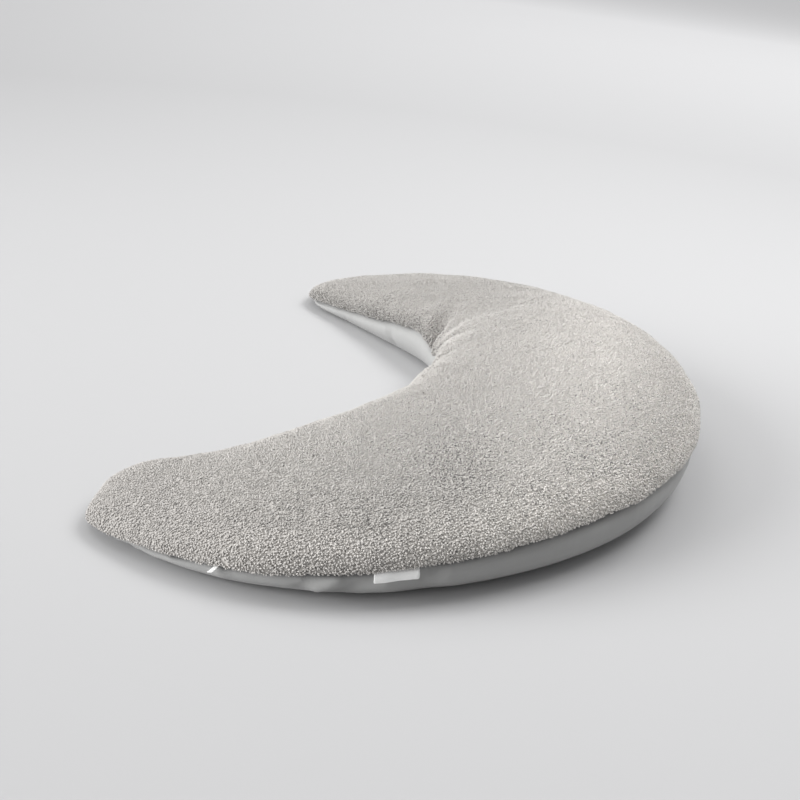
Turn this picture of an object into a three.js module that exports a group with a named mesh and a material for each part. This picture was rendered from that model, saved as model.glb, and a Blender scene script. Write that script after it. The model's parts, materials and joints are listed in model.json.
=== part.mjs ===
// Crescent nursing pillow, filled and lying on its flat underside.
// Millimetres, +Z up. The horns point to -Y and the rounded back to +Y.
// The origin is at the middle of the footprint, on the surface that the pillow rests on.

import * as THREE from 'three';
import { mergeVertices } from 'three/addons/utils/BufferGeometryUtils.js';

// Thickness of the plush panel with its pile, and the play between it and the filled body
const PILE = 7;
const PLAY = 0.5;

// The underside draws in this far from the seam before it lies flat
const TUCK = 33;

// Length over which each horn rounds off to its tip, and how round: 2 is a plain ellipse.
// The tip leans out from the spine by this share of the half width.
const TIP_LENGTH = 25;
const TIP_POWER = 2.3;
const TIP_LEAN = 0.33;

// The seam on the bay's side runs this much higher than on the outer side, and where the deepest
// fold gathers it, at a share of the spine, it dips this deep over this width
const BAY_SEAM_RISE = 3.5;
const BAY_SEAM_DIP = { at: 0.652, depth: 18, width: 52 };

// Sections at even steps along the spine, from the tip of one horn round to the other tip:
// place of the spine in plan, half width, height of the seam, and rise of the crown over the seam
const SECTIONS = [
  { x: 290, y: -221.5, half: 36.5, seam: 7.5, crown: 17 },
  { x: 273, y: -98, half: 94, seam: 23, crown: 30 },
  { x: 215, y: 5, half: 110, seam: 40, crown: 40 },
  { x: 117, y: 77, half: 119, seam: 51, crown: 47 },
  { x: -1, y: 101, half: 124, seam: 55, crown: 49 },
  { x: -121, y: 76, half: 120, seam: 52, crown: 47 },
  { x: -217, y: 5, half: 112, seam: 41, crown: 40 },
  { x: -276, y: -100, half: 92, seam: 25, crown: 31.5 },
  { x: -296, y: -224.5, half: 31, seam: 7.5, crown: 11 },
];

// Folds that fan out from the inner edge over the plush: where each leaves the edge and where it
// dies out, as shares of the spine, how many degrees up the section it climbs, depth and width.
// A negative depth is a ridge.
const FOLDS = [
  { start: 0.672, end: 0.742, climb: 66, depth: 12, width: 14 },
  { start: 0.636, end: 0.69, climb: 62, depth: -4, width: 11 },
  { start: 0.592, end: 0.5, climb: 64, depth: 6.5, width: 10 },
  { start: 0.53, end: 0.495, climb: 48, depth: -2.5, width: 9 },
  { start: 0.448, end: 0.505, climb: 62, depth: 5.5, width: 8 },
  { start: 0.4, end: 0.39, climb: 44, depth: -2, width: 12 },
  { start: 0.355, end: 0.31, climb: 46, depth: 5, width: 13 },
  { start: 0.26, end: 0.24, climb: 34, depth: 3, width: 14 },
];

// Creases in the smooth under panel, below the seam: the side it is on, its share of the spine at
// the seam, how far it leans along the spine on the way down, depth and width
const CREASES = [
  { side: 1, start: 0.112, lean: 0.008, depth: 2.5, width: 6 },
  { side: 1, start: 0.15, lean: -0.012, depth: 3, width: 8 },
  { side: 1, start: 0.167, lean: -0.014, depth: 2.5, width: 8 },
  { side: 1, start: 0.213, lean: 0.004, depth: 4, width: 9 },
  { side: 1, start: 0.62, lean: 0.01, depth: 3, width: 12 },
  { side: 1, start: 0.8, lean: -0.01, depth: 3, width: 10 },
  { side: 1, start: 0.885, lean: 0.012, depth: 2.5, width: 8 },
  { side: -1, start: 0.93, lean: -0.012, depth: 2, width: 7 },
  { side: -1, start: 0.82, lean: 0.008, depth: 2, width: 7 },
  { side: -1, start: 0.64, lean: 0.004, depth: 6, width: 11 },
  { side: -1, start: 0.565, lean: -0.004, depth: 4, width: 8 },
  { side: -1, start: 0.45, lean: 0.006, depth: 4, width: 9 },
  { side: -1, start: 0.355, lean: -0.006, depth: 4, width: 11 },
  { side: -1, start: 0.12, lean: 0.006, depth: 2, width: 8 },
];

// The under panel's side below the seam: how far in from the plush edge, and height as a share of
// the seam's height. The last row is the rim of the flat that the pillow rests on.
const SIDE_ROWS = [
  { inset: 3.4, level: 0.86 },
  { inset: 2.4, level: 0.64 },
  { inset: 5.5, level: 0.4 },
  { inset: 13, level: 0.18 },
  { inset: 22, level: 0.05 },
  { inset: TUCK, level: 0 },
];

// The plush edge rolls under by this share of the seam's height, this far in from its outermost line
const LIP_DROP = 0.05;
const LIP_INSET = 1.5;

// Degrees at which a section's arch is divided, closer together towards the inner seam, where the
// folds are
const ARCH = [0, 9, 20, 33, 48, 64, 80, 96, 109, 119, 127, 134, 141, 148, 155, 162, 169, 175, 180];

// Steps along the spine: fine at the tips and where the folds are, wider along the plain stretches
const ZONES = [
  { to: 0.012, steps: 3 },
  { to: 0.06, steps: 5 },
  { to: 0.34, steps: 15 },
  { to: 0.42, steps: 7 },
  { to: 0.76, steps: 38 },
  { to: 0.94, steps: 9 },
  { to: 0.988, steps: 5 },
  { to: 1, steps: 3 },
];

// Woven label and tape tab, sewn into the seam: the share of the spine where each is and how much
// of it it takes up, how far it leans along the spine, its thickness, and the path down its middle
// as inset from the plush edge and drop below the seam
const LABEL = {
  at: 0.1966,
  width: 0.0235,
  lean: 0,
  steps: 6,
  thick: 0.8,
  path: [
    { inset: 5.4, drop: 1.4 },
    { inset: 4, drop: 2.5 },
    { inset: 1.9, drop: 4.2 },
    { inset: 1, drop: 7 },
    { inset: 0.8, drop: 9.8 },
  ],
};
const TAB = {
  at: 0.106,
  width: 0.0026,
  lean: -0.0058,
  steps: 2,
  thick: 0.7,
  path: [
    { inset: 4.9, drop: 1.15 },
    { inset: 3.9, drop: 1.6 },
    { inset: 1.9, drop: 2.8 },
    { inset: 0.9, drop: 4.6 },
    { inset: 1, drop: 6.6 },
  ],
};

// A smooth curve through evenly spaced values, straight at its two ends
function smooth(values) {
  const last = values.length - 1;
  const bend = values.map(() => 0);
  const carry = values.map(() => 0);
  for (let i = 1; i < last; i++) {
    const pull = 6 * (values[i - 1] - 2 * values[i] + values[i + 1]);
    carry[i] = 1 / (4 - carry[i - 1]);
    bend[i] = (pull - bend[i - 1]) * carry[i];
  }
  for (let i = last - 1; i > 0; i--) {
    bend[i] -= carry[i] * bend[i + 1];
  }
  return (t) => {
    const i = Math.min(Math.floor(t * last), last - 1);
    const u = t * last - i;
    const v = 1 - u;
    const straight = v * values[i] + u * values[i + 1];
    return straight + ((v ** 3 - v) * bend[i] + (u ** 3 - u) * bend[i + 1]) / 6;
  };
}

const column = (name) => smooth(SECTIONS.map((row) => row[name]));
const spineX = column('x');
const spineY = column('y');
const halfWidth = column('half');
const seamHeight = column('seam');
const crownRise = column('crown');

// Point on the spine and the direction that points out of the crescent, level with the floor
function spine(t) {
  const step = 0.001;
  const back = Math.max(t - step, 0);
  const ahead = Math.min(t + step, 1);
  const along = new THREE.Vector2(spineX(ahead) - spineX(back), spineY(ahead) - spineY(back));
  along.normalize();
  return { x: spineX(t), y: spineY(t), out: new THREE.Vector2(along.y, -along.x) };
}

function spineLength() {
  const pieces = 400;
  let length = 0;
  for (let i = 0; i < pieces; i++) {
    const a = i / pieces;
    const b = (i + 1) / pieces;
    length += Math.hypot(spineX(b) - spineX(a), spineY(b) - spineY(a));
  }
  return length;
}

const LENGTH = spineLength();

// Share of the full section left near a horn's tip, from 0 at the tip to 1 past its rounding
function tipShare(t, inset) {
  const fromNear = Math.min((t * LENGTH - inset) / TIP_LENGTH, 1);
  const fromFar = Math.min(((1 - t) * LENGTH - inset) / TIP_LENGTH, 1);
  const round = (q) => (1 - (1 - Math.max(q, 0)) ** TIP_POWER) ** (1 / TIP_POWER);
  return round(fromNear) * round(fromFar);
}

// How far a section near a horn's tip is moved outwards
function tipShift(t) {
  return TIP_LEAN * halfWidth(t) * (1 - tipShare(t, 0));
}

// How deep the bay's seam dips towards the deepest fold
function seamDip(t) {
  return BAY_SEAM_DIP.depth * bell((t - BAY_SEAM_DIP.at) * LENGTH, BAY_SEAM_DIP.width);
}

// Place along the spine of a step, on an outline that lies inset from the plush edge
function alongAt(step, inset) {
  const end = inset / LENGTH;
  return end + (1 - 2 * end) * step;
}

function bell(distance, width) {
  return Math.exp(-((distance / width) ** 2));
}

// How deep the plush is folded at a place along the spine and an angle of the section's arch
function foldDepth(t, degrees) {
  let depth = 0;
  for (const fold of FOLDS) {
    const up = Math.min((180 - degrees) / fold.climb, 1);
    const centre = fold.start + (fold.end - fold.start) * up ** 1.4;
    const fade = (1 - up * up) * (0.45 + 0.55 * Math.sin(Math.PI * Math.min(up * 1.6, 1)));
    depth += fold.depth * fade * bell((t - centre) * LENGTH, fold.width);
  }
  return depth * tipShare(t, 0);
}

// How deep the under panel is creased at a place along the spine, on one side and at one level
function creaseDepth(t, side, level) {
  let depth = 0;
  for (const crease of CREASES) {
    if (crease.side !== side) {
      continue;
    }
    const centre = crease.start + crease.lean * (1 - level);
    depth += crease.depth * bell((t - centre) * LENGTH, crease.width);
  }
  return depth * 4 * level * (1 - level);
}

// A point of the arch over the seam. Inset pulls it in from the plush surface, lower drops it.
function archPoint(step, degrees, inset, lower) {
  const t = alongAt(step, inset);
  const share = tipShare(t, inset);
  const angle = THREE.MathUtils.degToRad(degrees);
  const fold = foldDepth(t, degrees) * share;
  const across = ((halfWidth(t) - inset) * share - fold) * Math.cos(angle) + tipShift(t);
  const rise = ((crownRise(t) - inset) * share - fold) * Math.sin(angle);
  const inwards = (1 - Math.cos(angle)) / 2;
  const bay = BAY_SEAM_RISE * share * inwards ** 2 - seamDip(t) * inwards ** 6;
  const height = seamHeight(t) + bay - lower + rise;
  const { x, y, out } = spine(t);
  return new THREE.Vector3(x + out.x * across, y + out.y * across, height);
}

// A point of the side below the seam, at side 1 outside and -1 in the bay
function sidePoint(step, side, inset, level) {
  const t = alongAt(step, inset);
  const share = tipShare(t, inset);
  const fold = side < 0 ? foldDepth(t, 180) * level : 0;
  const pulled = (fold + creaseDepth(t, side, level)) * share;
  const across = side * ((halfWidth(t) - inset) * share - pulled) + tipShift(t);
  const seam = seamHeight(t) + (side < 0 ? BAY_SEAM_RISE * share - seamDip(t) : 0);
  const { x, y, out } = spine(t);
  return new THREE.Vector3(x + out.x * across, y + out.y * across, seam * level);
}

// Closed skin through rings of points that all have the same count. A ring that has closed up on
// itself at a tip leaves triangles with no area there, and those are dropped. From the place
// turnFrom in the ring on, the four-sided fields are split along their other diagonal.
function skin(rings, turnFrom = Infinity) {
  const count = rings[0].length;
  const positions = [];
  const index = [];
  for (const ring of rings) {
    for (const point of ring) {
      positions.push(point.x, point.y, point.z);
    }
  }
  for (let i = 0; i < rings.length - 1; i++) {
    for (let j = 0; j < count; j++) {
      const next = (j + 1) % count;
      const a = i * count + j;
      const b = i * count + next;
      const c = a + count;
      const d = b + count;
      index.push(...(j < turnFrom ? [a, c, b, b, c, d] : [a, c, d, a, d, b]));
    }
  }
  const loose = new THREE.BufferGeometry();
  loose.setAttribute('position', new THREE.Float32BufferAttribute(positions, 3));
  loose.setIndex(index);
  const merged = mergeVertices(loose, 1e-3);
  const kept = [];
  const all = merged.index.array;
  for (let i = 0; i < all.length; i += 3) {
    const [a, b, c] = [all[i], all[i + 1], all[i + 2]];
    if (a !== b && b !== c && c !== a) {
      kept.push(a, b, c);
    }
  }
  merged.setIndex(kept);
  merged.computeVertexNormals();
  return merged;
}

function spineSteps() {
  const steps = [0];
  for (const zone of ZONES) {
    const from = steps[steps.length - 1];
    for (let i = 1; i <= zone.steps; i++) {
      steps.push(from + ((zone.to - from) * i) / zone.steps);
    }
  }
  return steps;
}

// The filled body: the arch that the plush lies on, the drawn-in sides and the flat underside
function bodyRing(step) {
  const inset = PILE + PLAY;
  const arch = ARCH.map((degrees) => archPoint(step, degrees, inset, PLAY));
  const inner = SIDE_ROWS.map((row) => sidePoint(step, -1, row.inset, row.level));
  const outer = SIDE_ROWS.map((row) => sidePoint(step, 1, row.inset, row.level));
  return [...arch, ...inner, ...outer.reverse()];
}

// Place in the plush panel's ring where its back starts. The back runs the other way round than
// the body's arch, so it is split the other way to lie parallel to it.
const BACK_FROM = ARCH.length + 1;

// The plush panel: its pile surface, the edge that rolls under at the seam, and its back
function plushRing(step) {
  const face = ARCH.map((degrees) => archPoint(step, degrees, 0, 0));
  const back = ARCH.map((degrees) => archPoint(step, degrees, PILE, 0));
  const lip = (side) => sidePoint(step, side, LIP_INSET, 1 - LIP_DROP);
  return [...face, lip(-1), ...back.reverse(), lip(1)];
}

// A strip of tape that hangs out of the seam along its path
function tapeRings(tape) {
  const rings = [];
  for (let i = 0; i <= tape.steps; i++) {
    const start = tape.at + tape.width * (i / tape.steps - 0.5);
    const front = [];
    const back = [];
    for (const [k, { inset, drop }] of tape.path.entries()) {
      const before = tape.path[Math.max(k - 1, 0)];
      const after = tape.path[Math.min(k + 1, tape.path.length - 1)];
      const run = new THREE.Vector2(after.inset - before.inset, after.drop - before.drop);
      run.normalize();
      const t = start + (tape.lean * k) / (tape.path.length - 1);
      const { x, y, out } = spine(t);
      for (const [list, sign] of [[front, 1], [back, -1]]) {
        const across = halfWidth(t) - inset + (sign * run.y * tape.thick) / 2;
        const z = seamHeight(t) - drop - (sign * run.x * tape.thick) / 2;
        list.push(new THREE.Vector3(x + out.x * across, y + out.y * across, z));
      }
    }
    rings.push([...back, ...front.reverse()]);
  }
  return rings;
}

// A strip's skin is open at its two cut ends, and each is closed by drawing its ring shut
function tapeSkin(tape) {
  const rings = tapeRings(tape);
  const shut = (ring) => ring.map((point, i) => {
    const last = ring.length - 1;
    return i < ring.length / 2 ? point : ring[last - i];
  });
  return skin([shut(rings[0]), ...rings, shut(rings[rings.length - 1])]);
}

function cloth(name, geometry, color, roughness) {
  const material = new THREE.MeshStandardMaterial({ color, roughness, metalness: 0 });
  const mesh = new THREE.Mesh(geometry, material);
  mesh.name = name;
  return mesh;
}

const steps = spineSteps();
const pillow = new THREE.Group();
pillow.add(cloth('pillow_body', skin(steps.map(bodyRing)), 0x97979a, 0.85));
pillow.add(cloth('plush_top_panel', skin(steps.map(plushRing), BACK_FROM), 0xbfbbb5, 0.98));
pillow.add(cloth('seam_label', tapeSkin(LABEL), 0xe6e6e4, 0.8));
pillow.add(cloth('seam_tab', tapeSkin(TAB), 0xf0f0ee, 0.8));

// The footprint's middle goes to the origin
const bounds = new THREE.Box3().setFromObject(pillow);
const middle = bounds.getCenter(new THREE.Vector3());
pillow.position.set(-middle.x, -middle.y, -bounds.min.z);

export default pillow;
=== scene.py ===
"""A filled crescent nursing pillow, finished for the library.

Its smooth under panel is a filled casing, its plush top panel is a sheet with a short curly pile,
and a woven label and a folded tab hang out of the seam between the two. All sizes are metres.
"""

import json
import math
import random

import bmesh
import bpy
import numpy as np
from mathutils import Matrix, Vector, noise
from mathutils.bvhtree import BVHTree
from mathutils.kdtree import KDTree

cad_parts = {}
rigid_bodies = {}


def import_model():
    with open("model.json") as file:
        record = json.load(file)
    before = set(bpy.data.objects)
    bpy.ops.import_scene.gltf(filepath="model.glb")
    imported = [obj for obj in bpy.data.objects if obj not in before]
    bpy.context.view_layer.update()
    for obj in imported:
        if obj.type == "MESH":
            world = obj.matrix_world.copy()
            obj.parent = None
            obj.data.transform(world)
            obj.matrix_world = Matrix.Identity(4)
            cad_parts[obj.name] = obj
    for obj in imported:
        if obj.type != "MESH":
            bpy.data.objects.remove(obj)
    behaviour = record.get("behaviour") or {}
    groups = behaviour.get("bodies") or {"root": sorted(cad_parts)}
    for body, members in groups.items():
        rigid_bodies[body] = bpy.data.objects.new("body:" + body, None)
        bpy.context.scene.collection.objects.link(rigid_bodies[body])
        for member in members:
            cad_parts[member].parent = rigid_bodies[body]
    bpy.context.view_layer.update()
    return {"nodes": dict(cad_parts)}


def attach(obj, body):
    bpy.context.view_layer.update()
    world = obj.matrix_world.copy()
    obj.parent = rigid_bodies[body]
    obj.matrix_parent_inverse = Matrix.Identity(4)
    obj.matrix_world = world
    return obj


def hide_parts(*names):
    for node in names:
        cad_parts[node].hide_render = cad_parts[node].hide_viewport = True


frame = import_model()

MM = 0.001
MERGE = 0.01 * MM

# The camera, where the photograph was taken from
CAMERA_AZIMUTH = math.radians(99.18)
CAMERA_ELEVATION = math.radians(22.08)
CAMERA_ROLL = math.radians(8.0)
CAMERA_DISTANCE = 1.1405
CAMERA_AIM = Vector((-0.0364, -0.0567, 0.0))
CAMERA_CLIP = (0.01, 500.0)
FOCAL_PIXELS = 1157.74
FRAME_PIXELS = 800
SENSOR = 36.0

# Filled casing: its remesh, its filling by pressure, and the room that it may swell into
CASING_VOXEL = 6 * MM
CASING_START = 1.5 * MM
CASING_PRESSURE = 4.0
CASING_QUALITY = 4
CASING_FRAMES = 20
CASING_SHIFT = 3.0 * MM
SWELL_OUT = 1.2 * MM
SWELL_IN = 0.2 * MM
CLEAR_OF_PLUSH = 0.9 * MM
PLUSH_REACH = 3.5 * MM

# The casing tucks in along the seam, this deep and this far from it
SEAM_GROOVE = 3.2 * MM
SEAM_GROOVE_HALF = 5.0 * MM

# Ground cloth of the plush: how far it lies under the top of the pile, how near the casing it may
# come, how thick it is, which of its solid's faces are its back, and the lip that stands up at the
# seam. Triangles join to quads up to this fold and skew.
CLOTH_SINK = 2.0 * MM
CLOTH_LEAST = 0.7 * MM
CLOTH_THICK = 0.5 * MM
BACK_SKIN = 1.0 * MM
LIP_LIFT = 2.4 * MM
LIP_ZONE = 9 * MM
QUAD_FOLD = math.radians(60)
QUAD_SKEW = math.radians(80)

# Slow swells of the cloth: size across, depth and seed, and what a seed moves them by
SWELL_SHIFT = (7.3, 3.1, 5.7)
CLOTH_SWELLS = ((42 * MM, 1.4 * MM, 1), (13 * MM, 0.7 * MM, 2))

# Shapes of curl, in millimetres: reach, height and hook are drawn between two sizes. A curl's root,
# bend and tip are shares of its reach, its hook and its height, each with its own radius, and the
# root goes this far into the cloth.
CURL_SHAPES = 10
CURL_SEED = 11
CURL_SIDES = 3
CURL_REACH = (1.2, 2.4)
CURL_HEIGHT = (1.6, 2.3)
CURL_HOOK = (-0.9, 0.9)
CURL_PATH = ((-0.25, 0.0, 0.0), (0.15, 0.6, 0.8), (0.75, 1.0, 0.8))
CURL_RADII = (0.80, 1.0, 0.15)
CURL_ROOTED = 0.4

# How the curls stand: spacing, most to a square metre, lean either way, least and most size, and
# what each draw adds to the seed of its part
CURL_SPACING = 1.22 * MM
CURL_DENSITY = 2e6
CURL_LEAN = 0.45
CURL_SIZES = ((0.85, 0.85, 0.80), (1.15, 1.15, 1.15))
LEAN_SEED, SIZE_SEED, PICK_SEED, SUNKEN_SEED = 20, 40, 60, 80

# How wide, deep and high the curls stand at the hem, and away from it. The hem fades out over this
# reach. On the horn with the label it fades out too, between these places along Y.
HEM_REACH = 34 * MM
HEM_CURL = (1.1, 0.8, 1.0)
FLAT_CURL = (0.95, 0.85, 0.5)
FLAT_HORN_FROM, FLAT_HORN_TO = -0.15, -0.08

# A few curls in each handful sit low, and have painted shade
SUNKEN_POWER = 9.0
SUNKEN_DEPTH = 0.7
SUNKEN_SHADE = -0.3

# The pile is made in parts, shared out by the angle round a point in the bay. No pile stands where
# the cloth faces further down than this.
PILE_PARTS = ("first_horn", "first_shoulder", "rounded_back", "second_shoulder", "second_horn")
BAY_POINT = Vector((0.0, -0.16, 0.0))
PILE_LOWEST = -0.55

# Colours. Where there are two, the tone wanders between them, by a share each way.
# The root colours are painted shade at the foot of the pile, darker in the flat pile than at the
# hem
PAINTED_ROOT_SHADE = (0.60, 0.58, 0.55)
FLAT_PAINTED_ROOT_SHADE = (0.56, 0.537, 0.51)
PILE_COLOUR = (0.612, 0.588, 0.562)
JERSEY_COLOURS = ((0.34, 0.34, 0.335), (0.38, 0.38, 0.375))
TAPE_COLOURS = ((0.80, 0.80, 0.79), (0.88, 0.88, 0.87))
FLOOR_COLOURS = ((0.495, 0.495, 0.5), (0.515, 0.515, 0.52))
JERSEY_WANDER, TAPE_WANDER, FLOOR_WANDER = 0.25, 0.3, 0.1
SPECULAR = 0.2

# Depth of the finest relief
PILE_BUMP = 0.15 * MM
KNIT_BUMP = 0.12 * MM
WEAVE_BUMP = 0.08 * MM

# Each row of four takes one range to another: its two ends, then the value at each. Painted light
# and shade: the plush is lighter towards the rounded back, along Y, and a little darker towards the
# far horn, along X + Y. Its tone clouds over, and deepens with painted shade towards the roots.
PAINTED_LIGHT_ALONG_Y = (0.0, 0.15, 0.84, 1.21)
PAINTED_SHADE_ACROSS = (-0.26, 0.05, 0.87, 0.99)
PILE_CLOUD = 0.08
ROOT_SHADE_POWER = 0.7

# Painted shade under the hem's tufts, and painted light that makes the hem lighter, along X + Y
HEM_SHADE = 6.0
HEM_DARK = -0.8
HEM_LIT = (0.1, 0.4, 0.1, 0.42)

# Painted shade in dark pits between the fibres, in clouds. They open more towards the horn with the
# label, along X + Y, and at the hem of the other horn, along X.
PIT_SHADE = (0.24, 0.36, 1.0, 0.3)
PIT_CLOUD = 0.25
PIT_OPENING = (0.18, 0.31, -0.08, 0.06)
HEM_OPENING = (-0.1, 0.08, 0.22, -0.12)

# Painted shade on the under panel where it tucks in under the pile: gap to the plush, then tone.
# Past this place towards -X a share of the way adds to the gap, so that the shade fades at the far
# horn.
SEAM_SHADE = (2.5 * MM, 7.0 * MM, 0.4, 1.0)
SEAM_FADE = 0.05
SEAM_FADE_FROM = 0.05

# The floor's half width, and painted light that makes its far end paler: metres from the pillow,
# then tone
FLOOR_HALF = 150.0
FLOOR_FAR_LIGHT = (2.0, 8.0, 1.0, 1.75)

# Light all round
SKY_COLOUR = (0.87, 0.87, 0.874, 1.0)
SKY_STRENGTH = 0.38

# Soft boxes: place, what each points at, size and power
LAMPS = (
    ("top_box", (0.35, -0.75, 1.7), (0.0, -0.05, 0.05), 1.4, 10.0),
    ("left_box", (0.5, -1.6, 0.9), (0.0, 0.0, 0.0), 1.0, 7.0),
    ("right_top_box", (-0.4, 0.75, 1.75), (0.0, 0.0, 0.05), 1.0, 21.0),
    ("far_wash", (-3.5, 1.7, 4.0), (-7.0, 1.9, 0.0), 7.0, 230.0),
)

# A low soft light from far off: the way it comes from, its strength and how wide it looks
LOW_FROM = (0.9, -1.5, 0.48)
LOW_STRENGTH = 3.4
LOW_WIDTH = math.radians(38)

# Label and tab: the label's turned ends, its swell, the thickness of the tape, and how squarely a
# face of the tab's solid looks aside or down to be left out
LABEL_HEM = 1.2 * MM
LABEL_HEM_RISE = 0.25 * MM
LABEL_SWELL = (14 * MM, 0.7 * MM, 5)
TAPE_THICK = 0.22 * MM
TAB_FACING = 0.7

# Soft troughs (+) and ridges (-) in the under panel: from, to, depth and half width, in millimetres
CASING_CREASES = [
    ((360.5, -97.0, 17.0), (361.5, -90.0, 8.0), 2.2, 2.6),
    ((361.5, -104.0, 16.0), (362.0, -97.0, 9.0), -1.6, 5.0),
    ((354.5, -34.0, 23.0), (355.0, -43.0, 12.0), 2.0, 4.5),
    ((350.0, -17.0, 25.0), (351.0, -32.0, 11.0), -3.2, 6.0),
    ((343.0, 0.0, 24.0), (347.0, -14.0, 8.0), 3.4, 7.0),
    ((322.5, 34.0, 31.0), (324.0, 37.0, 18.0), 4.2, 5.0),
    ((311.0, 52.0, 34.0), (317.0, 48.0, 12.0), -1.6, 7.0),
    ((-235.0, -191.0, 14.0), (-236.0, -186.0, 6.0), 1.8, 3.5),
    ((-222.0, -172.0, 15.0), (-224.0, -163.0, 5.0), 1.6, 4.0),
    ((-168.0, -98.0, 20.0), (-171.0, -93.0, 8.0), 1.8, 4.5),
]


# Meshes

def piece(name, mesh):
    """A new object in the scene that carries this mesh."""
    obj = bpy.data.objects.new(name, mesh)
    bpy.context.scene.collection.objects.link(obj)
    return obj


def merged(node):
    """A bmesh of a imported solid, its loose triangles joined."""
    bm = bmesh.new()
    bm.from_mesh(frame["nodes"][node].data)
    bmesh.ops.remove_doubles(bm, verts=bm.verts, dist=MERGE)
    return bm


def finished(bm, name):
    """The bmesh as a smooth-shaded object."""
    mesh = bpy.data.meshes.new(name)
    bm.to_mesh(mesh)
    bm.free()
    mesh.shade_smooth()
    return piece(name, mesh)


def worked_in(obj):
    """Works the object's modifiers into its mesh."""
    graph = bpy.context.evaluated_depsgraph_get()
    mesh = bpy.data.meshes.new_from_object(obj.evaluated_get(graph), depsgraph=graph)
    obj.modifiers.clear()
    before, obj.data = obj.data, mesh
    bpy.data.meshes.remove(before)
    mesh.name = obj.name


def subdivided(obj, levels):
    """Smooth subdivision, worked in."""
    mod = obj.modifiers.new("smooth", "SUBSURF")
    mod.levels = mod.render_levels = levels
    worked_in(obj)
    obj.data.shade_smooth()


def places(obj):
    """The vertex places and normals as arrays."""
    count = len(obj.data.vertices)
    co = np.empty(count * 3)
    obj.data.vertices.foreach_get("co", co)
    normals = np.array([v.normal[:] for v in obj.data.vertices])
    return co.reshape(-1, 3), normals


def put(obj, co):
    """Moves the vertices to these places."""
    obj.data.vertices.foreach_set("co", co.ravel())
    obj.data.update()


def tree_of(mesh):
    """A mesh as a tree of its faces, for nearest points."""
    corners = [v.co for v in mesh.vertices]
    return BVHTree.FromPolygons(corners, [p.vertices[:] for p in mesh.polygons])


def creased(obj, rows):
    """Presses soft troughs into the surface, and lifts ridges, along lines of their own size."""
    co, normals = places(obj)
    moved = co.copy()
    for start, end, depth, half in rows:
        a, b = np.array(start) * MM, np.array(end) * MM
        share = np.clip((co - a) @ (b - a) / np.dot(b - a, b - a), 0, 1)
        gap = np.linalg.norm(co - a - share[:, None] * (b - a), axis=1)
        moved -= normals * (depth * MM * np.exp(-(gap / (half * MM)) ** 2))[:, None]
    put(obj, moved)


def uneven(obj, size, depth, seed):
    """Slow swells over the surface, about this size across."""
    co, normals = places(obj)
    shift = Vector([seed * step for step in SWELL_SHIFT])
    swell = np.array([noise.noise(Vector(c) / size + shift) for c in co])
    put(obj, co + normals * (swell * depth)[:, None])


def maths(tree, kind, a, b=None, c=None):
    """A Math node on sockets or numbers, and its output."""
    node = tree.nodes.new("ShaderNodeMath")
    node.operation = kind
    for slot, value in zip(node.inputs, (a, b, c)):
        if isinstance(value, bpy.types.NodeSocket):
            tree.links.new(value, slot)
        elif value is not None:
            slot.default_value = value
    return node.outputs[0]


# Filled casing

def swollen(obj):
    """Fills the casing: a cloth simulation with pressure, its result worked in."""
    mod = obj.modifiers.new("filling", "CLOTH")
    cloth = mod.settings
    cloth.quality = CASING_QUALITY
    cloth.use_pressure = True
    cloth.uniform_pressure_force = CASING_PRESSURE
    cloth.effector_weights.gravity = 0
    mod.collision_settings.use_collision = False
    mod.collision_settings.use_self_collision = False
    mod.point_cache.frame_start = 1
    mod.point_cache.frame_end = CASING_FRAMES
    for step in range(1, CASING_FRAMES + 1):
        bpy.context.scene.frame_set(step)
    worked_in(obj)
    bpy.context.scene.frame_set(1)


def filled_casing():
    """The under panel and what it holds, swollen within the room that its solid has."""
    solid = frame["nodes"]["pillow_body"].data
    body, plush = tree_of(solid), tree_of(frame["nodes"]["plush_top_panel"].data)
    obj = finished(merged("pillow_body"), "filled_casing")
    mod = obj.modifiers.new("even", "REMESH")
    mod.mode, mod.voxel_size = "VOXEL", CASING_VOXEL
    worked_in(obj)
    start, normals = places(obj)
    put(obj, start - normals * CASING_START)
    swollen(obj)
    co, _ = places(obj)
    shift = co - start
    far = np.linalg.norm(shift, axis=1, keepdims=True)
    put(obj, start + shift * np.minimum(1.0, CASING_SHIFT / np.maximum(far, MERGE)))
    co, _ = places(obj)
    for i, place in enumerate(co):
        near, facing, _, _ = body.find_nearest(Vector(place))
        out = (Vector(place) - near).dot(facing)
        covered = plush.find_nearest(near)[3] < PLUSH_REACH
        high = -CLEAR_OF_PLUSH if covered else SWELL_OUT
        kept = min(max(out, -SWELL_IN), high)
        co[i] = near + facing * kept
    put(obj, co)
    subdivided(obj, 1)
    co, normals = places(obj)
    gap = np.array([plush.find_nearest(Vector(place))[3] for place in co])
    put(obj, co - normals * (SEAM_GROOVE * np.exp(-(gap / SEAM_GROOVE_HALF) ** 2))[:, None])
    # The gap that sets the painted shade along the seam, faded towards the far horn
    seam_shade_gap = gap + SEAM_FADE * np.maximum(SEAM_FADE_FROM - co[:, 0], 0.0)
    obj.data.attributes.new("seam_gap", "FLOAT", "POINT").data.foreach_set("value", seam_shade_gap)
    creased(obj, CASING_CREASES)
    co, _ = places(obj)
    co[:, 2] = np.maximum(co[:, 2], 0.0)
    put(obj, co)
    obj.data.shade_smooth()
    return obj


# Plush panel

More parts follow.
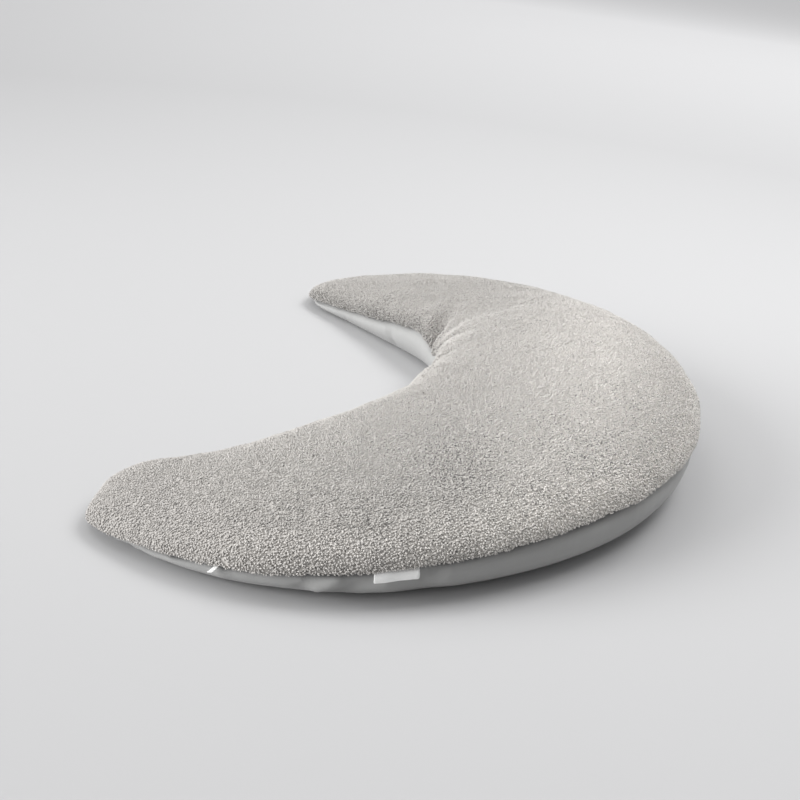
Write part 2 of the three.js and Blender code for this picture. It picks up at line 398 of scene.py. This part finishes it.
def plush_cloth():
    """The ground cloth of the plush: the outer skin of its solid, let down by the pile's height."""
    body = tree_of(frame["nodes"]["pillow_body"].data)
    bm = merged("plush_top_panel")
    stands = bm.verts.layers.float.new("hem")
    gap = {v: body.find_nearest(v.co)[3] for v in bm.verts}
    back = [f for f in bm.faces if max(gap[v] for v in f.verts) < BACK_SKIN]
    bmesh.ops.delete(bm, geom=back, context="FACES")
    bmesh.ops.join_triangles(
        bm, faces=bm.faces, angle_face_threshold=QUAD_FOLD, angle_shape_threshold=QUAD_SKEW
    )
    lip = [v for v in bm.verts if v.is_boundary]
    hem = KDTree(len(lip))
    for i, v in enumerate(lip):
        hem.insert(v.co, i)
    hem.balance()
    from_lip = {v: hem.find(v.co)[2] for v in bm.verts}
    for v in bm.verts:
        v[stands] = max(0.0, 1.0 - from_lip[v] / HEM_REACH)
        if v.co.x > 0.0:
            along = (v.co.y - FLAT_HORN_FROM) / (FLAT_HORN_TO - FLAT_HORN_FROM)
            v[stands] *= min(max(along, 0.0), 1.0)
        v.co.z += LIP_LIFT * max(0.0, 1.0 - from_lip[v] / LIP_ZONE)
        near, _, _, far = body.find_nearest(v.co)
        sink = CLOTH_SINK * (FLAT_CURL[2] + (1 - FLAT_CURL[2]) * v[stands])
        v.co = near + (v.co - near) / max(far, MERGE) * max(CLOTH_LEAST, far - sink)
    obj = finished(bm, "plush_cloth")
    subdivided(obj, 1)
    for size, depth, seed in CLOTH_SWELLS:
        uneven(obj, size, depth, seed)
    return obj


def with_thickness(obj, thick):
    """Gives a sheet its thickness, inwards."""
    mod = obj.modifiers.new("thickness", "SOLIDIFY")
    mod.thickness, mod.offset, mod.use_even_offset = thick, -1.0, False
    worked_in(obj)
    obj.data.shade_smooth()


def curl(name, path, radii):
    """One curl of pile: a thin strand through these points, closed to a point at its tip."""
    bm = bmesh.new()
    rise = bm.verts.layers.float.new("rise")
    points = [Vector(p) * MM for p in path]

    def place_of(i):
        before, after = points[max(i - 1, 0)], points[min(i + 1, len(points) - 1)]
        turn = (after - before).to_track_quat("Z", "Y").to_matrix().to_4x4()
        return Matrix.Translation(points[i]) @ turn @ Matrix.Scale(radii[i] * MM, 4)

    ring = bmesh.ops.create_circle(bm, segments=CURL_SIDES, radius=1.0, cap_ends=True)["verts"]
    bmesh.ops.transform(bm, matrix=place_of(0), verts=ring)
    edges = list(bm.edges)
    for i in range(1, len(points)):
        made = bmesh.ops.extrude_edge_only(bm, edges=edges)["geom"]
        ring = [g for g in made if isinstance(g, bmesh.types.BMVert)]
        edges = [g for g in made if isinstance(g, bmesh.types.BMEdge)]
        bmesh.ops.transform(bm, matrix=place_of(i) @ place_of(i - 1).inverted(), verts=ring)
        for v in ring:
            v[rise] = i / (len(points) - 1)
    bmesh.ops.pointmerge(bm, verts=ring, merge_co=points[-1])
    bmesh.ops.recalc_face_normals(bm, faces=bm.faces)
    mesh = bpy.data.meshes.new(name)
    bm.to_mesh(mesh)
    bm.free()
    mesh.shade_smooth()
    return bpy.data.objects.new(name, mesh)


def curls():
    """Several shapes of curl, so that few neighbours match: each rises, thickens and bends over."""
    draw = random.Random(CURL_SEED)
    made = []
    for k in range(CURL_SHAPES):
        reach = draw.uniform(*CURL_REACH)
        height = draw.uniform(*CURL_HEIGHT)
        hook = draw.uniform(*CURL_HOOK)
        path = [[a * reach, b * hook, c * height] for a, b, c in CURL_PATH]
        path[0][2] -= CURL_ROOTED
        made.append(curl(f"curl_{k}", path, CURL_RADII))
    return made


def scatter_tree(strands, finish, seed):
    """Geometry nodes that stand the curls over a surface, evenly spread and turned at random."""
    tree = bpy.data.node_groups.new(f"stand_pile_{seed}", "GeometryNodeTree")
    tree.interface.new_socket(name="Ground", in_out="INPUT", socket_type="NodeSocketGeometry")
    tree.interface.new_socket(name="Pile", in_out="OUTPUT", socket_type="NodeSocketGeometry")
    new, link = tree.nodes.new, tree.links.new
    ground, result = new("NodeGroupInput"), new("NodeGroupOutput")

    spread = new("GeometryNodeDistributePointsOnFaces")
    spread.distribute_method = "POISSON"
    spread.inputs["Distance Min"].default_value = CURL_SPACING
    spread.inputs["Density Max"].default_value = CURL_DENSITY
    spread.inputs["Seed"].default_value = seed
    link(ground.outputs[0], spread.inputs["Mesh"])
    hem = new("GeometryNodeInputNamedAttribute")
    hem.data_type = "FLOAT"
    hem.inputs["Name"].default_value = "hem"

    lean = new("FunctionNodeRandomValue")
    lean.data_type = "FLOAT_VECTOR"
    lean.inputs[0].default_value = (-CURL_LEAN, -CURL_LEAN, 0.0)
    lean.inputs[1].default_value = (CURL_LEAN, CURL_LEAN, 2 * math.pi)
    lean.inputs["Seed"].default_value = seed + LEAN_SEED
    euler = new("FunctionNodeEulerToRotation")
    turn = new("FunctionNodeRotateRotation")
    turn.rotation_space = "LOCAL"
    link(lean.outputs[0], euler.inputs[0])
    link(spread.outputs["Rotation"], turn.inputs[0])
    link(euler.outputs[0], turn.inputs[1])

    size = new("FunctionNodeRandomValue")
    size.data_type = "FLOAT_VECTOR"
    size.inputs[0].default_value, size.inputs[1].default_value = CURL_SIZES
    size.inputs["Seed"].default_value = seed + SIZE_SEED
    chance = new("FunctionNodeRandomValue")
    chance.data_type = "FLOAT"
    chance.inputs["Seed"].default_value = seed + SUNKEN_SEED
    sunken = maths(tree, "POWER", chance.outputs[1], SUNKEN_POWER)
    low = new("ShaderNodeCombineXYZ")
    low.inputs[0].default_value = low.inputs[1].default_value = 0.0
    link(maths(tree, "MULTIPLY", sunken, SUNKEN_DEPTH), low.inputs[2])
    lowered = new("ShaderNodeVectorMath")
    lowered.operation = "SUBTRACT"
    link(size.outputs[0], lowered.inputs[0])
    link(low.outputs[0], lowered.inputs[1])
    stance = new("ShaderNodeMix")
    stance.data_type = "VECTOR"
    stance.inputs[4].default_value = FLAT_CURL
    stance.inputs[5].default_value = HEM_CURL
    link(hem.outputs[0], stance.inputs[0])
    sized = new("ShaderNodeVectorMath")
    sized.operation = "MULTIPLY"
    link(lowered.outputs[0], sized.inputs[0])
    link(stance.outputs[1], sized.inputs[1])

    pick = new("FunctionNodeRandomValue")
    pick.data_type = "INT"
    pick.inputs[4].default_value = 0
    pick.inputs[5].default_value = len(strands.objects) - 1
    pick.inputs["Seed"].default_value = seed + PICK_SEED

    shapes = new("GeometryNodeCollectionInfo")
    shapes.inputs["Collection"].default_value = strands
    shapes.inputs["Separate Children"].default_value = True
    shapes.inputs["Reset Children"].default_value = True

    stand = new("GeometryNodeInstanceOnPoints")
    stand.inputs["Pick Instance"].default_value = True
    link(spread.outputs["Points"], stand.inputs["Points"])
    link(shapes.outputs[0], stand.inputs["Instance"])
    link(pick.outputs[2], stand.inputs["Instance Index"])
    link(turn.outputs[0], stand.inputs["Rotation"])
    link(sized.outputs[0], stand.inputs["Scale"])

    store = new("GeometryNodeStoreNamedAttribute")
    store.data_type, store.domain = "FLOAT", "INSTANCE"
    store.inputs["Name"].default_value = "sunken"
    link(stand.outputs[0], store.inputs["Geometry"])
    link(sunken, store.inputs["Value"])

    real, paint = new("GeometryNodeRealizeInstances"), new("GeometryNodeSetMaterial")
    paint.inputs["Material"].default_value = finish
    link(store.outputs[0], real.inputs[0])
    link(real.outputs[0], paint.inputs["Geometry"])
    link(paint.outputs[0], result.inputs[0])
    return tree


def parted(cloth):
    """The cloth's outer faces shared out, from horn to horn, into parts of equal area."""
    faces = []
    for face in cloth.data.polygons:
        if face.normal.z < PILE_LOWEST:
            continue
        arm = face.center - BAY_POINT
        angle = math.atan2(arm.y, arm.x)
        if angle < -math.pi / 2:
            angle += 2 * math.pi
        faces.append((angle, face.index, face.area))
    faces.sort()
    total, run = sum(area for _, _, area in faces), 0.0
    parts = [set() for _ in PILE_PARTS]
    for _, index, area in faces:
        parts[min(int(run / total * len(parts)), len(parts) - 1)].add(index)
        run += area
    return parts


def standing_pile(cloth, finish):
    """The pile, as one piece for each part of the panel."""
    strands = bpy.data.collections.new("strands")
    for obj in curls():
        strands.objects.link(obj)
    made = []
    for seed, (part, kept) in enumerate(zip(PILE_PARTS, parted(cloth)), 1):
        bm = bmesh.new()
        bm.from_mesh(cloth.data)
        bm.faces.ensure_lookup_table()
        bmesh.ops.delete(bm, geom=[f for f in bm.faces if f.index not in kept], context="FACES")
        obj = finished(bm, f"pile_of_{part}")
        mod = obj.modifiers.new("pile", "NODES")
        mod.node_group = scatter_tree(strands, finish, seed)
        worked_in(obj)
        made.append(obj)
    for obj in list(strands.objects):
        bpy.data.objects.remove(obj)
    bpy.data.collections.remove(strands)
    return made


# Label and tab

def woven_label():
    """The label: a strip of woven tape sewn in along one edge, wavy, thicker at its two ends."""
    bm = merged("seam_label")
    bmesh.ops.subdivide_edges(bm, edges=bm.edges, cuts=2, use_grid_fill=True)
    obj = finished(bm, "woven_label")
    subdivided(obj, 1)
    co, normals = places(obj)
    ends = np.minimum(co[:, 1] - co[:, 1].min(), co[:, 1].max() - co[:, 1])
    rise = LABEL_HEM_RISE * np.exp(-((ends - LABEL_HEM) / LABEL_HEM) ** 2)
    put(obj, co + normals * rise[:, None])
    uneven(obj, *LABEL_SWELL)
    return obj


def folded_tab():
    """The tab: a narrow tape folded lengthwise, its fold towards the horn's tip."""
    bm = merged("seam_tab")
    lowest = min(v.co.z for v in bm.verts)
    cut = []
    for face in bm.faces:
        at_end = face.calc_center_median().z < lowest + TAPE_THICK
        if face.normal.y > TAB_FACING or (at_end and face.normal.z < -TAB_FACING):
            cut.append(face)
    bmesh.ops.delete(bm, geom=cut, context="FACES")
    obj = finished(bm, "folded_tab")
    with_thickness(obj, TAPE_THICK)
    subdivided(obj, 2)
    return obj


# Finishes

def group(name, inputs, outputs):
    """An empty shader group with named inputs and outputs."""
    tree = bpy.data.node_groups.new(name, "ShaderNodeTree")
    new = tree.interface.new_socket
    for label, kind, value in inputs:
        socket = new(name=label, in_out="INPUT", socket_type=f"NodeSocket{kind}")
        if value is not None:
            socket.default_value = value
    for label, kind in outputs:
        new(name=label, in_out="OUTPUT", socket_type=f"NodeSocket{kind}")
    return tree, tree.nodes.new("NodeGroupInput"), tree.nodes.new("NodeGroupOutput")


def cloudy():
    """Shader group: soft clouds of tone about a size, from -1 to 1, and a finer fleck."""
    tree, given, out = group(
        "cloudy_tone",
        [("Places", "Vector", None), ("Cloud size", "Float", 0.04), ("Fleck size", "Float", 0.003)],
        [("Cloud", "Float"), ("Fleck", "Float")],
    )
    for socket, size, detail in (("Cloud", "Cloud size", 2.0), ("Fleck", "Fleck size", 1.0)):
        node = tree.nodes.new("ShaderNodeTexNoise")
        node.inputs["Detail"].default_value = detail
        tree.links.new(given.outputs["Places"], node.inputs["Vector"])
        tree.links.new(maths(tree, "DIVIDE", 1.0, given.outputs[size]), node.inputs["Scale"])
        centred = maths(tree, "SUBTRACT", node.outputs[0], 0.5)
        tree.links.new(maths(tree, "MULTIPLY", centred, 2.0), out.inputs[socket])
    return tree


def knit():
    """Shader group: fine loops of a knitted cloth, as a height."""
    tree, given, out = group(
        "knitted_loops",
        [("Places", "Vector", None), ("Loop size", "Float", 0.0009)],
        [("Height", "Float")],
    )
    scale = maths(tree, "DIVIDE", 1.0, given.outputs["Loop size"])
    loops = tree.nodes.new("ShaderNodeTexVoronoi")
    loops.feature = "SMOOTH_F1"
    tree.links.new(given.outputs["Places"], loops.inputs["Vector"])
    tree.links.new(scale, loops.inputs["Scale"])
    tree.links.new(maths(tree, "SUBTRACT", 1.0, loops.outputs["Distance"]), out.inputs["Height"])
    return tree


def weave():
    """Shader group: threads over and under, as a height."""
    tree, given, out = group(
        "woven_threads",
        [("Places", "Vector", None), ("Thread", "Float", 0.0006)],
        [("Height", "Float")],
    )
    apart = tree.nodes.new("ShaderNodeSeparateXYZ")
    tree.links.new(given.outputs["Places"], apart.inputs[0])
    waves = []
    for axis in ("X", "Y"):
        turns = maths(tree, "DIVIDE", apart.outputs[axis], given.outputs["Thread"])
        waves.append(maths(tree, "SINE", maths(tree, "MULTIPLY", turns, math.pi)))
    both = maths(tree, "MULTIPLY", *waves)
    tree.links.new(maths(tree, "MULTIPLY_ADD", both, 0.5, 0.5), out.inputs["Height"])
    return tree


GROUPS = {}


def placed(tree, name, **values):
    """Places a shader group in a material, with its own values."""
    node = tree.nodes.new("ShaderNodeGroup")
    node.node_tree = GROUPS[name]
    for label, value in values.items():
        socket = node.inputs[label.replace("_", " ")]
        if isinstance(value, bpy.types.NodeSocket):
            tree.links.new(value, socket)
        else:
            socket.default_value = value
    return node


def finish(name, roughness, sheen=0.0, sheen_roughness=0.5):
    """A new material, with its shader and its tree."""
    made = bpy.data.materials.new(name)
    made.use_nodes = True
    tree = made.node_tree
    shader = tree.nodes["Principled BSDF"]
    shader.inputs["Roughness"].default_value = roughness
    shader.inputs["Sheen Weight"].default_value = sheen
    shader.inputs["Sheen Roughness"].default_value = sheen_roughness
    shader.inputs["Specular IOR Level"].default_value = SPECULAR
    coords = tree.nodes.new("ShaderNodeTexCoord")
    return made, tree, shader, coords.outputs["Object"]


def mixed(tree, share, one, other):
    """A colour between two, by a share."""
    node = tree.nodes.new("ShaderNodeMix")
    node.data_type = "RGBA"
    tree.links.new(share, node.inputs["Factor"])
    for label, colour in (("A", one), ("B", other)):
        if isinstance(colour, bpy.types.NodeSocket):
            tree.links.new(colour, node.inputs[label])
        else:
            node.inputs[label].default_value = (*colour, 1.0)
    return node.outputs["Result"]


def scaled(tree, colour, gain):
    """A colour made lighter or darker."""
    node = tree.nodes.new("ShaderNodeVectorMath")
    node.operation = "SCALE"
    tree.links.new(colour, node.inputs[0])
    tree.links.new(gain, node.inputs["Scale"])
    return node.outputs[0]


def wandering(tree, tone, reach):
    """A share about a half, moved up and down by a tone."""
    return maths(tree, "MULTIPLY_ADD", tone, reach, 0.5)


def ranged(tree, value, row, smooth=True):
    """A value taken from one range to another."""
    node = tree.nodes.new("ShaderNodeMapRange")
    node.interpolation_type = "SMOOTHSTEP" if smooth else "LINEAR"
    for socket, given in zip(node.inputs[1:], row):
        socket.default_value = given
    tree.links.new(value, node.inputs[0])
    return node.outputs[0]


def bumped(tree, shader, height, distance):
    """Feeds a height to the shader's normal."""
    bump = tree.nodes.new("ShaderNodeBump")
    bump.inputs["Distance"].default_value = distance
    tree.links.new(height, bump.inputs["Height"])
    tree.links.new(bump.outputs[0], shader.inputs["Normal"])


def attribute(tree, name):
    """A named attribute of the mesh."""
    node = tree.nodes.new("ShaderNodeAttribute")
    node.attribute_name = name
    return node.outputs["Fac"]


def plush_finish():
    """Light warm-grey pile, clouded, with painted light and shade: shaded at the roots, on low
    curls, under the hem and in dark pits between its fibres.
    """
    made, tree, shader, at = finish("curly_plush", roughness=0.9, sheen=0.3)
    tones = placed(tree, "cloudy", Places=at, Cloud_size=0.05, Fleck_size=0.0015)
    apart = tree.nodes.new("ShaderNodeSeparateXYZ")
    tree.links.new(at, apart.inputs[0])
    across = maths(tree, "ADD", apart.outputs["X"], apart.outputs["Y"])
    # Painted light and shade: lighter towards the rounded back, darker towards the far horn
    along = ranged(tree, apart.outputs["Y"], PAINTED_LIGHT_ALONG_Y)
    painted_light_and_shade = maths(tree, "MULTIPLY", along, ranged(tree, across, PAINTED_SHADE_ACROSS, False))
    # Painted shade: the pile darkens towards its roots
    rise = maths(tree, "POWER", attribute(tree, "rise"), ROOT_SHADE_POWER)
    hem = attribute(tree, "hem")
    root = mixed(tree, hem, FLAT_PAINTED_ROOT_SHADE, PAINTED_ROOT_SHADE)
    body = mixed(tree, rise, root, PILE_COLOUR)
    # Painted shade on the curls that sit low
    own = maths(tree, "MULTIPLY_ADD", attribute(tree, "sunken"), SUNKEN_SHADE, 1.0)
    # Painted light on the hem, and painted shade under its tufts
    lit = maths(tree, "MULTIPLY_ADD", hem, ranged(tree, across, HEM_LIT, False), 1.0)
    shade = maths(tree, "MULTIPLY_ADD", maths(tree, "POWER", hem, HEM_SHADE), HEM_DARK, lit)
    clouds, flecks = tones.outputs["Cloud"], tones.outputs["Fleck"]
    # Random clouds of tone, over the painted light and shade
    cloud = maths(tree, "MULTIPLY_ADD", clouds, PILE_CLOUD, painted_light_and_shade)
    # Painted shade in pits between the fibres, opening more in some places
    clustered = maths(tree, "MULTIPLY_ADD", clouds, PIT_CLOUD, flecks)
    at_hem = ranged(tree, apart.outputs["X"], HEM_OPENING, False)
    parting = maths(tree, "MULTIPLY_ADD", hem, at_hem, ranged(tree, across, PIT_OPENING, False))
    pits = ranged(tree, maths(tree, "ADD", clustered, parting), PIT_SHADE)
    tone = maths(tree, "MULTIPLY", own, cloud)
    shade = maths(tree, "MULTIPLY", shade, pits)
    # The gain carries all the painted light and shade, with the clouds
    gain = maths(tree, "MULTIPLY", tone, shade)
    tree.links.new(scaled(tree, body, gain), shader.inputs["Base Color"])
    bumped(tree, shader, flecks, PILE_BUMP)
    return made


def jersey_finish():
    """Smooth mid-grey knitted cloth, with painted shade where it tucks in under the pile."""
    made, tree, shader, at = finish("grey_jersey", roughness=0.82, sheen=0.2, sheen_roughness=0.4)
    tones = placed(tree, "cloudy", Places=at, Cloud_size=0.06)
    loops = placed(tree, "knit", Places=at, Loop_size=0.0011)
    share = wandering(tree, tones.outputs["Cloud"], JERSEY_WANDER)
    colour = mixed(tree, share, *JERSEY_COLOURS)
    # Painted shade where the panel tucks in under the pile
    shade = ranged(tree, attribute(tree, "seam_gap"), SEAM_SHADE)
    tree.links.new(scaled(tree, colour, shade), shader.inputs["Base Color"])
    bumped(tree, shader, loops.outputs["Height"], KNIT_BUMP)
    return made


def tape_finish():
    """White woven tape."""
    made, tree, shader, at = finish(
        "white_woven_tape", roughness=0.7, sheen=0.1, sheen_roughness=0.4
    )
    tones = placed(tree, "cloudy", Places=at, Fleck_size=0.0006)
    threads = placed(tree, "weave", Places=at, Thread=0.0005)
    share = wandering(tree, tones.outputs["Fleck"], TAPE_WANDER)
    tree.links.new(mixed(tree, share, *TAPE_COLOURS), shader.inputs["Base Color"])
    bumped(tree, shader, threads.outputs["Height"], WEAVE_BUMP)
    return made


def floor_finish():
    """Plain pale studio floor, with painted light that makes it paler far off."""
    made, tree, shader, at = finish("pale_floor", roughness=0.85)
    tones = placed(tree, "cloudy", Places=at, Cloud_size=1.5)
    share = wandering(tree, tones.outputs["Cloud"], FLOOR_WANDER)
    colour = mixed(tree, share, *FLOOR_COLOURS)
    reach = tree.nodes.new("ShaderNodeVectorMath")
    reach.operation = "LENGTH"
    tree.links.new(at, reach.inputs[0])
    # Painted light: the floor grows paler with distance from the pillow
    paler = ranged(tree, reach.outputs["Value"], FLOOR_FAR_LIGHT, False)
    tree.links.new(scaled(tree, colour, paler), shader.inputs["Base Color"])
    return made


# Studio

def camera():
    """The camera, where the photograph was taken from."""
    back = Vector((
        math.sin(CAMERA_AZIMUTH) * math.cos(CAMERA_ELEVATION),
        -math.cos(CAMERA_AZIMUTH) * math.cos(CAMERA_ELEVATION),
        math.sin(CAMERA_ELEVATION),
    ))
    right = (-back).cross(Vector((0, 0, 1))).normalized()
    turn = Matrix((right, back.cross(right), back)).transposed()
    data = bpy.data.cameras.new("camera")
    data.sensor_width, data.lens = SENSOR, FOCAL_PIXELS / FRAME_PIXELS * SENSOR
    data.clip_start, data.clip_end = CAMERA_CLIP
    obj = piece("camera", data)
    obj.matrix_world = (
        Matrix.Translation(CAMERA_AIM + back * CAMERA_DISTANCE)
        @ turn.to_4x4()
        @ Matrix.Rotation(CAMERA_ROLL, 4, "Z")
    )
    bpy.context.scene.camera = obj


def lamp(name, place, aim, size, power):
    """A square soft box that faces the place it is aimed at."""
    data = bpy.data.lights.new(name, "AREA")
    data.shape, data.size, data.energy = "SQUARE", size, power
    obj = piece(name, data)
    turn = (Vector(aim) - Vector(place)).to_track_quat("-Z", "Y")
    obj.matrix_world = Matrix.Translation(place) @ turn.to_matrix().to_4x4()


def studio():
    """Pale floor, soft light from all round, soft boxes and one low light from far off."""
    bm = bmesh.new()
    bmesh.ops.create_grid(bm, x_segments=1, y_segments=1, size=FLOOR_HALF)
    floor = finished(bm, "studio_floor")
    floor.data.materials.append(floor_finish())
    scene = bpy.context.scene
    scene.view_settings.view_transform = "Standard"
    world = bpy.data.worlds.new("studio")
    world.use_nodes = True
    sky = world.node_tree.nodes["Background"]
    sky.inputs["Color"].default_value = SKY_COLOUR
    sky.inputs["Strength"].default_value = SKY_STRENGTH
    scene.world = world
    for name, place, aim, size, power in LAMPS:
        lamp(name, place, aim, size, power)
    data = bpy.data.lights.new("low_light", "SUN")
    data.energy, data.angle = LOW_STRENGTH, LOW_WIDTH
    low = piece("low_light", data)
    low.matrix_world = Vector(LOW_FROM).to_track_quat("Z", "Y").to_matrix().to_4x4()


# The pillow

camera()
GROUPS.update(cloudy=cloudy(), knit=knit(), weave=weave())
plush, jersey, tape = plush_finish(), jersey_finish(), tape_finish()

casing = filled_casing()
casing.data.materials.append(jersey)
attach(casing, "root")
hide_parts("pillow_body")

cloth = plush_cloth()
pile = standing_pile(cloth, plush)
for part in pile:
    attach(part, "root")
with_thickness(cloth, CLOTH_THICK)
cloth.data.materials.append(plush)
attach(cloth, "root")
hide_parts("plush_top_panel")

for strip, node, flat, area in (
    (woven_label(), "seam_label", (0.033, 0.0115), 0.00037),
    (folded_tab(), "seam_tab", (0.010, 0.010), 0.00006),
):
    strip.data.materials.append(tape)
    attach(strip, "root")
    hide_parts(node)

studio()
